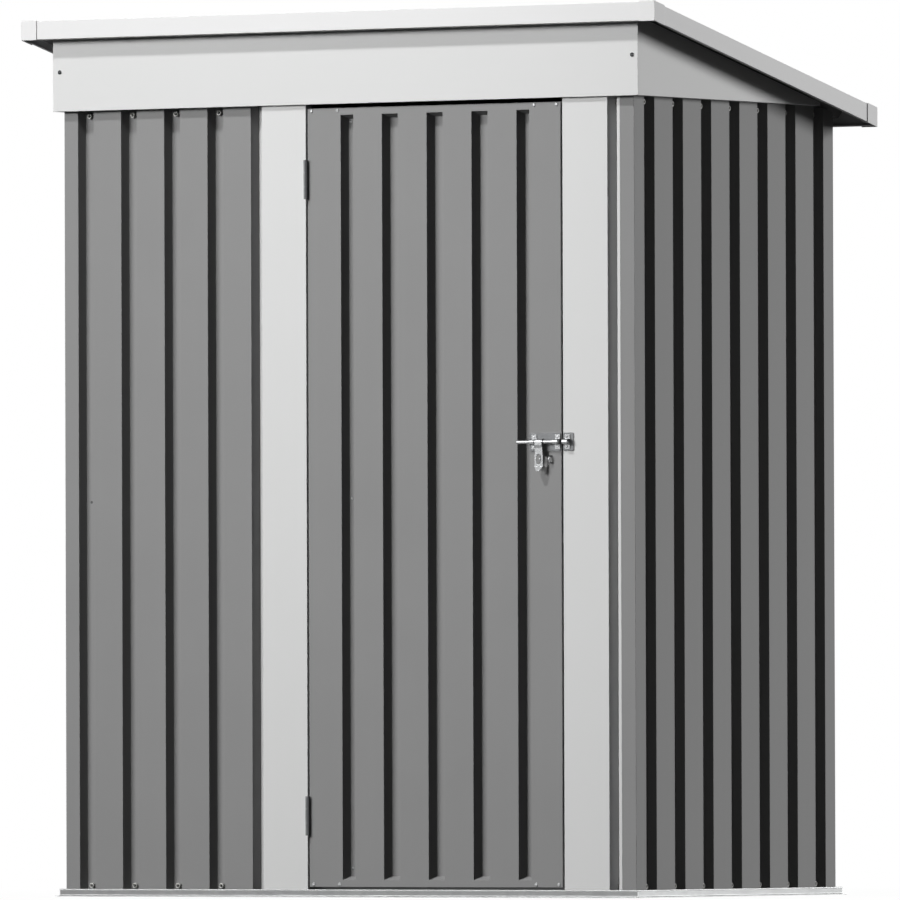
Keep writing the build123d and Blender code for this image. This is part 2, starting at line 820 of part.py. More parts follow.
# Wire staples that the slot of the hasp drops over, one for each place of the bolt
with BuildPart() as bolt_staples:
    for x_staple in (x_hasp, x_hasp_thrown):
        leg = staple_reach - staple_radius - staple_wire
        with BuildLine(
            Plane(origin=(x_staple, y_door, z_bolt - staple_drop), x_dir=(0, -1, 0), z_dir=(-1, 0, 0))
        ) as wire:
            Line((0, staple_radius), (leg, staple_radius))
            ThreePointArc((leg, staple_radius), (leg + staple_radius, 0), (leg, -staple_radius))
            Line((leg, -staple_radius), (0, -staple_radius))
        with BuildSketch(Plane(origin=wire.line @ 0, z_dir=(0, -1, 0))):
            Circle(staple_wire)
        sweep(path=wire.line)
bolt_staples.part.label = "bolt_staples"
export_step(bolt_staples.part, "parts/bolt_staples.step")

# Hasp: a sleeve round the bolt and a slotted tongue with its tip bent out
with BuildPart() as hasp:
    side_view = Plane(origin=(x_hasp, y_bolt, z_bolt), x_dir=(0, -1, 0), z_dir=(-1, 0, 0))
    front_view = Plane(origin=(x_hasp, y_bolt, z_bolt), x_dir=(1, 0, 0), z_dir=(0, -1, 0))
    with BuildSketch(side_view):
        add(
            folded(
                [
                    (hasp_sleeve_radius - hasp_sheet, 0),
                    (hasp_sleeve_radius - hasp_sheet, -hasp_root),
                    (hasp_stand_off, -hasp_crank),
                    (hasp_stand_off, -hasp_bend),
                    (hasp_stand_off + hasp_bend_out, -hasp_length),
                ],
                hasp_sheet,
            )
        )
    extrude(amount=hasp_width / 2, both=True)
    with BuildSketch(front_view):
        with BuildLine():
            half_outline = Polyline(
                (0, -hasp_length),
                (hasp_tip_width / 2, -hasp_length),
                (hasp_width / 2, -hasp_bend),
                (hasp_width / 2, -hasp_length / 2),
                (hasp_neck_width / 2, -hasp_length / 4),
                (hasp_neck_width / 2, 0),
                (0, 0),
            )
            mirror(half_outline, about=Plane.YZ)
        make_face()
    extrude(amount=2 * hasp_stand_off + hasp_bend_out, mode=Mode.INTERSECT)
    with BuildSketch(side_view):
        Circle(hasp_sleeve_radius)
    extrude(amount=hasp_neck_width / 2, both=True)
    with BuildSketch(side_view):
        Circle(saddle_radius)
    extrude(amount=hasp_width / 2, both=True, mode=Mode.SUBTRACT)
    with BuildSketch(front_view):
        with Locations((0, -staple_drop)):
            SlotOverall(hasp_slot_height, hasp_slot_width, rotation=90)
    extrude(amount=2 * hasp_stand_off, mode=Mode.SUBTRACT)
hasp.part.label = "hasp"
export_step(hasp.part, "parts/hasp.step")
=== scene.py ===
import math

import bpy
from mathutils import Matrix, Vector


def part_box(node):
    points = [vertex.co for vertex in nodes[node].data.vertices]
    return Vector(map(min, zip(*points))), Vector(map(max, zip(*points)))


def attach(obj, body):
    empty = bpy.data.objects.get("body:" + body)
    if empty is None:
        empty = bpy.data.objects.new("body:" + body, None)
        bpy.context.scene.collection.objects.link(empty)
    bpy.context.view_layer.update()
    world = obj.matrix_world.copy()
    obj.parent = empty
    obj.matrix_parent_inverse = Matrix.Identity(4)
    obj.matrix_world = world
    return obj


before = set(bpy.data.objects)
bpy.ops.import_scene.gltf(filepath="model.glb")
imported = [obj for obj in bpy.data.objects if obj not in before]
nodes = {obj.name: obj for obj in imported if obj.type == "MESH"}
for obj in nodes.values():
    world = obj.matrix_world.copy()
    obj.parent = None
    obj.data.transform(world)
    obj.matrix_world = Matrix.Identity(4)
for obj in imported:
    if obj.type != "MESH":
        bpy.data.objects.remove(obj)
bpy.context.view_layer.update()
scene = bpy.context.scene
mm = 0.001
print("frame loaded:", len(nodes), "pieces")

# Camera, fitted to the photograph: a long lens from the front right, near the ground
photoView = {
    "azimuth": 33.26, "pitch": 1.03, "roll": -0.18,  # degrees
    "lens": 662.9,  # millimetres, for the usual sensor of 36
    "distance": 34.494, "aim": Vector((0.0008, 0.0002, 0.9268)),  # metres
    "clipEnd": 200,
}


def placeCamera(view):
    azimuth, pitch, roll = (math.radians(view[key]) for key in ("azimuth", "pitch", "roll"))
    forward = Vector((
        -math.sin(azimuth) * math.cos(pitch), math.cos(azimuth) * math.cos(pitch), math.sin(pitch),
    ))
    level = Vector((math.cos(azimuth), math.sin(azimuth), 0))
    upright = level.cross(forward)
    right = level * math.cos(roll) + upright * math.sin(roll)
    up = upright * math.cos(roll) - level * math.sin(roll)
    camera = bpy.data.objects.new("camera", bpy.data.cameras.new("camera"))
    camera.data.lens = view["lens"]
    camera.data.clip_end = view["clipEnd"]
    turn = Matrix((right, up, -forward)).transposed().to_4x4()
    camera.matrix_world = Matrix.Translation(view["aim"] - forward * view["distance"]) @ turn
    scene.collection.objects.link(camera)
    scene.camera = camera


placeCamera(photoView)
print("camera placed")


# sRGB hex value to the linear colour that a shader takes
def hexColor(text):
    channels = [int(text[i : i + 2], 16) / 255 for i in (0, 2, 4)]
    linear = [c / 12.92 if c <= 0.04045 else ((c + 0.055) / 1.055) ** 2.4 for c in channels]
    return (*linear, 1)


# One node with its settings, its own values and the links into it
def addNode(tree, kind, settings=None, values=None, links=None):
    node = tree.nodes.new(kind)
    for name, value in (settings or {}).items():
        setattr(node, name, value)
    for socket, value in (values or {}).items():
        node.inputs[socket].default_value = value
    for socket, source in (links or {}).items():
        tree.links.new(source, node.inputs[socket])
    return node


def newMaterial(name):
    material = bpy.data.materials.new(name)
    material.use_nodes = True
    tree = material.node_tree
    return material, tree, tree.nodes["Principled BSDF"]


foldSamples = 4  # rays that round a fold's edge in the shading

# What all satin surfaces share
satinTexture = {
    "cloudDetail": 4.0, "cloudRoughness": 0.55, "grainDetail": 2.0, "grainRoughness": 0.6,
    "peelDepth": 0.1,  # millimetres
}


# Satin surface without metal in it: soft clouds of tone, a faint orange peel and round folds.
# What it throws on the faces beside it is darker than its own colour: painted shade, which deepens the
# shade in the grooves
def satinFinish(name, paint):
    material, tree, shader = newMaterial(name)
    place = addNode(tree, "ShaderNodeTexCoord").outputs["Object"]
    clouds = addNode(
        tree, "ShaderNodeTexNoise",
        values={
            "Scale": 1 / (paint["cloudSize"] * mm), "Detail": satinTexture["cloudDetail"],
            "Roughness": satinTexture["cloudRoughness"],
        },
        links={"Vector": place},
    )
    grain = addNode(
        tree, "ShaderNodeTexNoise",
        values={
            "Scale": 1 / (paint["grainSize"] * mm), "Detail": satinTexture["grainDetail"],
            "Roughness": satinTexture["grainRoughness"],
        },
        links={"Vector": place},
    )
    tone = addNode(
        tree, "ShaderNodeMix", {"data_type": "RGBA"},
        {"A": hexColor(paint["dark"]), "B": hexColor(paint["light"])},
        {"Factor": clouds.outputs["Fac"]},
    )
    rays = addNode(tree, "ShaderNodeLightPath")
    # Painted shade: light that bounces off this surface takes the darker colour, so the grooves and
    # folds beside it darken
    thrownShade = addNode(
        tree, "ShaderNodeMix", {"data_type": "RGBA"}, {"B": hexColor(paint["thrownShade"])},
        {"Factor": rays.outputs["Is Diffuse Ray"], "A": tone.outputs["Result"]},
    )
    sheen = addNode(
        tree, "ShaderNodeMapRange",
        values={"To Min": paint["smooth"], "To Max": paint["rough"]},
        links={"Value": clouds.outputs["Fac"]},
    )
    fold = addNode(
        tree, "ShaderNodeBevel", {"samples": foldSamples}, {"Radius": paint["foldRadius"] * mm},
    )
    peel = addNode(
        tree, "ShaderNodeBump",
        values={"Strength": paint["peel"], "Distance": satinTexture["peelDepth"] * mm},
        links={"Height": grain.outputs["Fac"], "Normal": fold.outputs["Normal"]},
    )
    shader.inputs["Specular IOR Level"].default_value = paint["shine"]
    tree.links.new(thrownShade.outputs["Result"], shader.inputs["Base Color"])
    tree.links.new(sheen.outputs["Result"], shader.inputs["Roughness"])
    tree.links.new(peel.outputs["Normal"], shader.inputs["Normal"])
    return material


# Sheet steel coil-coated with gray polyester before its ribs were pressed: even, calm and satin
wallPaint = satinFinish("grayPolyesterCoilCoat", {
    "dark": "959595", "light": "9B9B9B", "thrownShade": "505050", "cloudSize": 160, "grainSize": 2.2,
    "smooth": 0.55, "rough": 0.65, "shine": 0.08, "peel": 0.2, "foldRadius": 1.2,
})
# The same coat in off-white on the strips, fascia and gables: a clean frame round the gray walls
trimPaint = satinFinish("offWhitePolyesterCoilCoat", {
    "dark": "E5E6E5", "light": "E9E9E9", "thrownShade": "A8A8A8", "cloudSize": 200, "grainSize": 2.2,
    "smooth": 0.58, "rough": 0.66, "shine": 0.12, "peel": 0.15, "foldRadius": 1.2,
})
# The off-white coat painted lighter on the edge of the roof: painted light for the stronger light it
# catches, so that it is the lightest thing in the scene
roofTrimLitCopy = satinFinish("offWhiteCoatLitCopy", {
    "dark": "F1F1F1", "light": "F4F4F4", "thrownShade": "A8A8A8", "cloudSize": 200, "grainSize": 2.2,
    "smooth": 0.58, "rough": 0.66, "shine": 0.12, "peel": 0.15, "foldRadius": 1.2,
})
# Washers moulded from natural nylon: milky rings that stand out in the dark grooves
washerNylon = satinFinish("mouldedNylonWasher", {
    "dark": "CECECB", "light": "D8D8D4", "thrownShade": "CECECB", "cloudSize": 5, "grainSize": 0.8,
    "smooth": 0.4, "rough": 0.5, "shine": 0.4, "peel": 0.1, "foldRadius": 0.2,
})


# What all zinc shares. An edge carries a painted highlight where its rounded normal, multiplied with
# the flat one, falls from 1 to the value named here
zincTexture = {
    "lineDetail": 3.0, "lineStrength": 0.15, "lineDepth": 0.05,  # depth in millimetres
    "highlightAt": 0.92,
}


# Zinc on steel: a gray metal whose gloss is broken by fine lines where the strip was drawn, and
# whose tone changes with flat crystals, with a painted highlight on its rounded edges
def zincSteel(name, zinc):
    material, tree, shader = newMaterial(name)
    place = addNode(tree, "ShaderNodeTexCoord").outputs["Object"]
    along = addNode(tree, "ShaderNodeMapping", values={"Scale": zinc["drawn"]}, links={"Vector": place})
    lines = addNode(
        tree, "ShaderNodeTexNoise",
        values={"Scale": 1 / (zinc["lineSize"] * mm), "Detail": zincTexture["lineDetail"]},
        links={"Vector": along.outputs[0]},
    )
    crystals = addNode(
        tree, "ShaderNodeTexVoronoi", values={"Scale": 1 / (zinc["crystalSize"] * mm)},
        links={"Vector": place},
    )
    flake = addNode(tree, "ShaderNodeSeparateColor", links={"Color": crystals.outputs["Color"]})
    tone = addNode(
        tree, "ShaderNodeMix", {"data_type": "RGBA"},
        {"A": hexColor(zinc["dark"]), "B": hexColor(zinc["light"])},
        {"Factor": flake.outputs["Red"]},
    )
    shade = addNode(
        tree, "ShaderNodeMapRange",
        values={"To Min": zinc["smooth"], "To Max": zinc["rough"]},
        links={"Value": lines.outputs["Fac"]},
    )
    fold = addNode(
        tree, "ShaderNodeBevel", {"samples": foldSamples}, {"Radius": zinc["foldRadius"] * mm},
    )
    facing = addNode(tree, "ShaderNodeNewGeometry").outputs["Normal"]
    turned = addNode(
        tree, "ShaderNodeVectorMath", {"operation": "DOT_PRODUCT"},
        links={0: fold.outputs["Normal"], 1: facing},
    )
    highlightMask = addNode(
        tree, "ShaderNodeMapRange",
        values={"From Min": 1.0, "From Max": zincTexture["highlightAt"]},
        links={"Value": turned.outputs["Value"]},
    )
    # Painted highlight: a lighter colour is mixed in where the rounded normal turns away from the flat
    # one
    paintedHighlight = addNode(
        tree, "ShaderNodeMix", {"data_type": "RGBA"}, {"B": hexColor(zinc["edge"])},
        {"Factor": highlightMask.outputs["Result"], "A": tone.outputs["Result"]},
    )
    grooves = addNode(
        tree, "ShaderNodeBump",
        values={"Strength": zincTexture["lineStrength"], "Distance": zincTexture["lineDepth"] * mm},
        links={"Height": lines.outputs["Fac"], "Normal": fold.outputs["Normal"]},
    )
    shader.inputs["Metallic"].default_value = 1
    tree.links.new(paintedHighlight.outputs["Result"], shader.inputs["Base Color"])
    tree.links.new(shade.outputs["Result"], shader.inputs["Roughness"])
    tree.links.new(grooves.outputs["Normal"], shader.inputs["Normal"])
    return material


# Galvanized rails, with flat crystals the size of a fingernail that catch the light by turns
railZinc = zincSteel("hotDipZincRail", {
    "dark": "6E6F6F", "light": "747575", "edge": "DCDDDD",
    "crystalSize": 14, "lineSize": 5, "drawn": (0.06, 0.06, 1),
    "smooth": 0.36, "rough": 0.46, "foldRadius": 1.6,
})
# Bright zinc on the bolt, hasp and loops: a white gleam along the top of the round bar
boltZinc = zincSteel("brightZincPlate", {
    "dark": "8E8F90", "light": "969798", "edge": "B4B5B6",
    "crystalSize": 3, "lineSize": 1.2, "drawn": (0.1, 1, 1),
    "smooth": 0.2, "rough": 0.34, "foldRadius": 0.4,
})
# Duller zinc on the flat plates and hinges, which hardly differ from the gray door
plateZinc = zincSteel("dullZincPlate", {
    "dark": "565758", "light": "5E5F60", "edge": "8C8D8E",
    "crystalSize": 3, "lineSize": 1.2, "drawn": (0.1, 1, 1),
    "smooth": 0.4, "rough": 0.54, "foldRadius": 0.4,
})
# Zinc of the rivets and door screws, with a fine grain from the tumbling barrel
rivetZinc = zincSteel("barrelPlatedZinc", {
    "dark": "9A9B9C", "light": "A8A9AA", "edge": "B8B9BA",
    "crystalSize": 0.8, "lineSize": 0.5, "drawn": (1, 1, 1),
    "smooth": 0.26, "rough": 0.42, "foldRadius": 0.2,
})
# Dark steel of the wall and roof screws: dark dots inside the pale washers, whose dark tone also paints
# the shade in the washers' hollows
screwSteel = zincSteel("darkSteelAndPaintedShade", {
    "dark": "3C3D3E", "light": "4A4B4C", "edge": "5A5B5C",
    "crystalSize": 0.8, "lineSize": 0.5, "drawn": (1, 1, 1),
    "smooth": 0.34, "rough": 0.5, "foldRadius": 0.2,
})

finishes = {
    wallPaint: ("front_panel", "side_panel", "back_panel", "corner_post", "roof_panel", "door_leaf"),
    trimPaint: ("front_strip", "front_fascia", "gable"),
    roofTrimLitCopy: ("roof_trim", "roof_corner_caps"),
    railZinc: ("base_rail", "top_rail", "door_stile", "door_rail"),
    plateZinc: ("hinge", "bolt_plate", "keeper_plate"),
    boltZinc: ("bolt_bar", "bolt_guides", "bolt_staples", "hasp", "keeper_loop"),
}
for material, starts in finishes.items():
    for name, node in nodes.items():
        if name.startswith(starts):
            node.data.materials.clear()
            node.data.materials.append(material)
print("finishes on every piece of the frame")


# Fasteners: Geometry Nodes set one form on every point and turn it to the way the point faces
def newTree(name, sockets):
    tree = bpy.data.node_groups.new(name, "GeometryNodeTree")
    tree.interface.new_socket("Geometry", in_out="OUTPUT", socket_type="NodeSocketGeometry")
    shared = {"Geometry": "NodeSocketGeometry", "Seed": "NodeSocketInt", "Finish": "NodeSocketMaterial"}
    for socket, kind in {**shared, **sockets}.items():
        tree.interface.new_socket(socket, in_out="INPUT", socket_type=kind)
    return tree, addNode(tree, "NodeGroupInput").outputs


def setOnPoints(tree, given, form):
    facing = addNode(
        tree, "GeometryNodeInputNamedAttribute", {"data_type": "FLOAT_VECTOR"}, {"Name": "facing"},
    )
    turn = addNode(
        tree, "FunctionNodeAlignRotationToVector", {"axis": "Z"},
        links={"Vector": facing.outputs["Attribute"]},
    )
    spin = addNode(
        tree, "FunctionNodeRandomValue",
        values={"Max": math.tau},
        links={"Seed": given["Seed"]},
    )
    spinRotation = addNode(
        tree, "FunctionNodeAxisAngleToRotation",
        values={"Axis": (0, 0, 1)},
        links={"Angle": spin.outputs["Value"]},
    )
    rotation = addNode(
        tree, "FunctionNodeRotateRotation", {"rotation_space": "LOCAL"},
        links={"Rotation": turn.outputs[0], "Rotate By": spinRotation.outputs[0]},
    )
    placed = addNode(
        tree, "GeometryNodeInstanceOnPoints",
        links={"Points": given["Geometry"], "Instance": form, "Rotation": rotation.outputs[0]},
    )
    real = addNode(tree, "GeometryNodeRealizeInstances", links={"Geometry": placed.outputs[0]})
    finished = addNode(
        tree, "GeometryNodeSetMaterial",
        links={"Geometry": real.outputs[0], "Material": given["Finish"]},
    )
    addNode(tree, "NodeGroupOutput", links={"Geometry": finished.outputs[0]})


# Moulded washer: a ring with a round edge, which leaves the screw's head in its hollow. The lift
# is the height of the ring's middle over the sheet, as a share of the ring's height
washerForm = {"around": 24, "rim": 8, "lift": 0.4}


def makeWasherTree():
    tree, given = newTree("mouldedWashers", {
        "Ring Radius": "NodeSocketFloat", "Ring Width": "NodeSocketFloat",
        "Ring Height": "NodeSocketFloat",
    })
    half = addNode(
        tree, "ShaderNodeMath", {"operation": "MULTIPLY"}, {1: 0.5}, {0: given["Ring Width"]},
    )
    middle = addNode(
        tree, "ShaderNodeMath", {"operation": "SUBTRACT"},
        links={0: given["Ring Radius"], 1: half.outputs[0]},
    )
    circle = addNode(
        tree, "GeometryNodeCurvePrimitiveCircle",
        values={"Resolution": washerForm["around"]},
        links={"Radius": middle.outputs[0]},
    )
    rim = addNode(
        tree, "GeometryNodeCurvePrimitiveCircle",
        values={"Resolution": washerForm["rim"]},
        links={"Radius": half.outputs[0]},
    )
    ring = addNode(
        tree, "GeometryNodeCurveToMesh",
        links={"Curve": circle.outputs["Curve"], "Profile Curve": rim.outputs["Curve"]},
    )
    flatness = addNode(
        tree, "ShaderNodeMath", {"operation": "DIVIDE"},
        links={0: given["Ring Height"], 1: given["Ring Width"]},
    )
    scale = addNode(
        tree, "ShaderNodeCombineXYZ",
        values={"X": 1, "Y": 1},
        links={"Z": flatness.outputs[0]},
    )
    lift = addNode(
        tree, "ShaderNodeMath", {"operation": "MULTIPLY"}, {1: washerForm["lift"]},
        {0: given["Ring Height"]},
    )
    raised = addNode(tree, "ShaderNodeCombineXYZ", links={"Z": lift.outputs[0]})
    washer = addNode(
        tree, "GeometryNodeTransform",
        links={
            "Geometry": ring.outputs["Mesh"], "Scale": scale.outputs[0],
            "Translation": raised.outputs[0],
        },
    )
    setOnPoints(tree, given, washer.outputs["Geometry"])
    return tree


# Head of a screw or rivet: a dome with a flat underside, and a cross recess where it has one. The
# underside's depth is a share of the rise, the recess's length a multiple of its width
headForm = {"segments": 18, "rings": 10, "underside": 0.1, "recessLength": 3.4}


def makeHeadTree():
    tree, given = newTree("fastenerHeads", {
        "Head Radius": "NodeSocketFloat", "Head Rise": "NodeSocketFloat",
        "Recess Width": "NodeSocketFloat",
    })
    ball = addNode(
        tree, "GeometryNodeMeshUVSphere",
        values={"Segments": headForm["segments"], "Rings": headForm["rings"], "Radius": 1},
    )
    place = addNode(tree, "GeometryNodeInputPosition")
    parts = addNode(tree, "ShaderNodeSeparateXYZ", links={"Vector": place.outputs[0]})
    below = addNode(
        tree, "FunctionNodeCompare", {"operation": "LESS_THAN"}, {"B": 0}, {"A": parts.outputs["Z"]},
    )
    sunk = addNode(
        tree, "ShaderNodeMath", {"operation": "MULTIPLY"}, {1: headForm["underside"]},
        {0: parts.outputs["Z"]},
    )
    flat = addNode(
        tree, "ShaderNodeCombineXYZ",
        links={"X": parts.outputs["X"], "Y": parts.outputs["Y"], "Z": sunk.outputs[0]},
    )
    dome = addNode(
        tree, "GeometryNodeSetPosition",
        links={
            "Geometry": ball.outputs["Mesh"], "Selection": below.outputs[0],
            "Position": flat.outputs[0],
        },
    )
    size = addNode(
        tree, "ShaderNodeCombineXYZ",
        links={"X": given["Head Radius"], "Y": given["Head Radius"], "Z": given["Head Rise"]},
    )
    head = addNode(
        tree, "GeometryNodeTransform", links={"Geometry": dome.outputs[0], "Scale": size.outputs[0]},
    )
    smooth = addNode(tree, "GeometryNodeSetShadeSmooth", links={"Geometry": head.outputs[0]})
    length = addNode(
        tree, "ShaderNodeMath", {"operation": "MULTIPLY"}, {1: headForm["recessLength"]},
        {0: given["Recess Width"]},
    )
    top = addNode(tree, "ShaderNodeCombineXYZ", links={"Z": given["Head Rise"]})
    slots = []
    for sides in (("Recess Width", "length"), ("length", "Recess Width")):
        x, y = (length.outputs[0] if side == "length" else given[side] for side in sides)
        block = addNode(tree, "ShaderNodeCombineXYZ", links={"X": x, "Y": y, "Z": given["Head Rise"]})
        cube = addNode(tree, "GeometryNodeMeshCube", links={"Size": block.outputs[0]})
        slots.append(addNode(
            tree, "GeometryNodeTransform",
            links={"Geometry": cube.outputs["Mesh"], "Translation": top.outputs[0]},
        ))
    cut = addNode(
        tree, "GeometryNodeMeshBoolean", {"operation": "DIFFERENCE", "solver": "EXACT"},
        links={"Mesh 1": smooth.outputs[0]},
    )
    for slot in slots:
        tree.links.new(slot.outputs[0], cut.inputs["Mesh 2"])
    hasRecess = addNode(
        tree, "FunctionNodeCompare", {"operation": "GREATER_THAN"}, {"B": 0},
        {"A": given["Recess Width"]},
    )
    form = addNode(
        tree, "GeometryNodeSwitch", {"input_type": "GEOMETRY"},
        links={"Switch": hasRecess.outputs[0], "False": smooth.outputs[0], "True": cut.outputs["Mesh"]},
    )
    setOnPoints(tree, given, form.outputs[0])
    return tree


growSeed = 7  # turns the heads and their recesses about their axes


# Puts one kind of form on its places, each a point and a direction, and bakes it to one mesh
def growOnPlaces(name, tree, places, sizes, finish, body):
    mesh = bpy.data.meshes.new(name)
    mesh.from_pydata([place for place, _ in places], [], [])
    facing = mesh.attributes.new("facing", "FLOAT_VECTOR", "POINT")
    facing.data.foreach_set("vector", [part for _, direction in places for part in direction])
    piece = bpy.data.objects.new(name, mesh)
    scene.collection.objects.link(piece)
    grow = piece.modifiers.new(name, "NODES")
    grow.node_group = tree
    values = {**{key: size * mm for key, size in sizes.items()}, "Seed": growSeed, "Finish": finish}
    for socket in tree.interface.items_tree:
        if socket.in_out == "INPUT" and socket.name in values:
            grow[socket.identifier] = values[socket.name]
    evaluated = piece.evaluated_get(bpy.context.evaluated_depsgraph_get())
    grown = bpy.data.meshes.new_from_object(evaluated)
    piece.modifiers.remove(grow)
    piece.data = grown
    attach(piece, body)


# Wall screws, in millimetres: they stand in the valleys of the sheets, counted from the corners,
# and those at the bottom and the top of the walls have washers
wallScrews = {
    "pitch": 108.5, "depth": 19.0, "firstFront": 54.0, "firstSide": 59.5,
    "sideFall": 0.0115, "backDrop": 11.5,  # fall per metre along the sides, drop on the back wall
    "bottomRow": 22.5, "middleRow": 821.0, "topRow": 1625.5,
    "washer": {"Ring Radius": 6.0, "Ring Width": 3.2, "Ring Height": 7.4},
    "head": {"Head Radius": 2.9, "Head Rise": 1.5, "Recess Width": 0.9},
    "bareHead": {"Head Radius": 3.2, "Head Rise": 1.8, "Recess Width": 1.0},
}
toFront, toBack, toLeft, toRight = (0, -1, 0), (0, 1, 0), (-1, 0, 0), (1, 0, 0)
leftWall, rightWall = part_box("side_panel_left"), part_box("side_panel_right")
xLeft, xRight = leftWall[0].x, rightWall[1].x
yFront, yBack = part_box("front_panel")[0].y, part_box("back_panel_left")[1].y


# Places along a wall, from one corner on
def valleysFrom(corner, first, count, direction=1):
    steps = [wallScrews[first] + index * wallScrews["pitch"] for index in range(count)]
    return [corner + direction * step * mm for step in steps]


def placeWallScrews():
    depth = wallScrews["depth"] * mm
    frontValleys = valleysFrom(xLeft, "firstFront", 4) + valleysFrom(xRight, "firstFront", 1, -1)
    backValleys = valleysFrom(xRight, "firstFront", 13, -1)
    sideValleys = valleysFrom(yFront, "firstSide", 7)
    withWashers, bare = [], []
    rows = (("topRow", wallScrews["sideFall"], wallScrews["backDrop"]), ("bottomRow", 0, 0))
    for row, fall, drop in rows:
        z = wallScrews[row] * mm
        withWashers += [((x, yFront + depth, z), toFront) for x in frontValleys]
        withWashers += [((x, yBack - depth, z - drop * mm), toBack) for x in backValleys]
        for y in sideValleys:
            zSide = z - fall * (y - sideValleys[0])
            withWashers += [((xRight - depth, y, zSide), toRight), ((xLeft + depth, y, zSide), toLeft)]
    middle = wallScrews["middleRow"] * mm
    bare += [((x, yFront + depth, middle), toFront) for x in (frontValleys[0], frontValleys[-1])]
    bare += [((x, yBack - depth, middle), toBack) for x in (backValleys[0], backValleys[-1])]
    return withWashers, bare


washerTree, headTree = makeWasherTree(), makeHeadTree()
washed, bare = placeWallScrews()
growOnPlaces(
    "wall_washers", washerTree, washed, wallScrews["washer"], washerNylon, "shed",
)
growOnPlaces("wall_screws", headTree, washed, wallScrews["head"], screwSteel, "shed")
growOnPlaces(
    "middle_screws", headTree, bare, wallScrews["bareHead"], screwSteel, "shed",
)
print("wall screws:", len(washed), "with washers,", len(bare), "bare")

# Broad screws through the two ends of the fascia
faceScrews = {
    "places": ((-707.0, -400.0, 1718.0), (710.0, -400.0, 1719.0)),
    "head": {"Head Radius": 4.6, "Head Rise": 3.2, "Recess Width": 1.4},
}
facePlaces = [(tuple(part * mm for part in place), toFront) for place in faceScrews["places"]]
growOnPlaces(
    "fascia_screws", headTree, facePlaces, faceScrews["head"], screwSteel, "shed",
)
print("fascia screws:", len(facePlaces))

# White flange of the right strip, which comes forward again and ends on the corner post: its
# section in millimetres, seen from above
flange = {
    "section": (
        (671.2, -386.2), (664.0, -386.2), (658.6, -369.2),
        (659.4, -369.2), (664.6, -385.4), (671.2, -385.4),
    ),
    "bottom": 2.0, "top": 1650.0,
}


def makeFlange():
    section, count = flange["section"], len(flange["section"])
    corners = [(x * mm, y * mm, flange[end] * mm) for end in ("bottom", "top") for x, y in section]
    ends = [(0, 5, 4, 1), (4, 3, 2, 1), (6, 7, 10, 11), (7, 8, 9, 10)]  # two fours of corners each
    sides = [(i, (i + 1) % count, (i + 1) % count + count, i + count) for i in range(count)]
    mesh = bpy.data.meshes.new("strip_flange")
    mesh.from_pydata(corners, [], ends + sides)
    mesh.materials.append(trimPaint)
    piece = bpy.data.objects.new("strip_flange", mesh)
    scene.collection.objects.link(piece)
    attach(piece, "shed")


makeFlange()
print("flange beside the right corner post made")

# Roof screws stand on the ribs, in three rows over the walls and the middle
roofScrews = {
    "ribs": 14, "slope": 0.2226, "rows": (-0.376, 0.0, 0.371),  # rows in metres
    "washer": {"Ring Radius": 7.0, "Ring Width": 5.4, "Ring Height": 2.4},
    "head": {"Head Radius": 4.6, "Head Rise": 3.0, "Recess Width": 1.2},
}


def placeRoofScrews():
    low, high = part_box("roof_panel_left")[0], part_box("roof_panel_right")[1]
    pitch = (high.x - low.x) / roofScrews["ribs"]
    slope = roofScrews["slope"]
    upright = Vector((0, slope, 1)).normalized()
    places = []
    for y in roofScrews["rows"]:
        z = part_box("roof_panel_left")[1].z - slope * (y - low.y)
        places += [((low.x + (rib + 0.5) * pitch, y, z), upright) for rib in range(roofScrews["ribs"])]
    return places


roofPlaces = placeRoofScrews()
growOnPlaces(
    "roof_washers", washerTree, roofPlaces, roofScrews["washer"], washerNylon, "shed",
)
growOnPlaces(
    "roof_screws", headTree, roofPlaces, roofScrews["head"], screwSteel, "shed",
)
print("roof screws:", len(roofPlaces))

# Door: pan-head screws at the corners of the leaf, and smaller ones in its first groove
doorScrews = {
    "insetsLeft": (9.3, 73.7), "insetsRight": (9.3, 64.5), "fromTop": 4.9, "fromBottom": 5.4,
    "grooveDepth": 19.0, "grooveInset": 94.0, "grooveRows": (39.0, 800.0, 1578.0),
    "cornerHead": {"Head Radius": 4.0, "Head Rise": 2.6, "Recess Width": 1.5},
    "grooveHead": {"Head Radius": 3.0, "Head Rise": 1.6, "Recess Width": 0.9},
}
leafLow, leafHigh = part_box("door_leaf")
cornerPlaces = []
cornerXs = [leafLow.x + inset * mm for inset in doorScrews["insetsLeft"]]
cornerXs += [leafHigh.x - inset * mm for inset in doorScrews["insetsRight"]]
for z in (leafLow.z + doorScrews["fromBottom"] * mm, leafHigh.z - doorScrews["fromTop"] * mm):
    cornerPlaces += [((x, leafLow.y, z), toFront) for x in cornerXs]
grooveX = leafLow.x + doorScrews["grooveInset"] * mm
grooveY = leafLow.y + doorScrews["grooveDepth"] * mm
groovePlaces = [((grooveX, grooveY, leafLow.z + row * mm), toFront) for row in doorScrews["grooveRows"]]
growOnPlaces(
    "door_screws", headTree, cornerPlaces, doorScrews["cornerHead"], rivetZinc, "door",
)
growOnPlaces(
    "groove_screws", headTree, groovePlaces, doorScrews["grooveHead"], rivetZinc, "door",
)

# Rivets through the feet of the bolt's guides and of the keeper's loop
latchRivets = {
    "halfGuide": 6.0, "halfFoot": 4.5, "footSheet": 1.5,  # millimetres
    "head": {"Head Radius": 2.4, "Head Rise": 1.1, "Recess Width": 0.0},
}


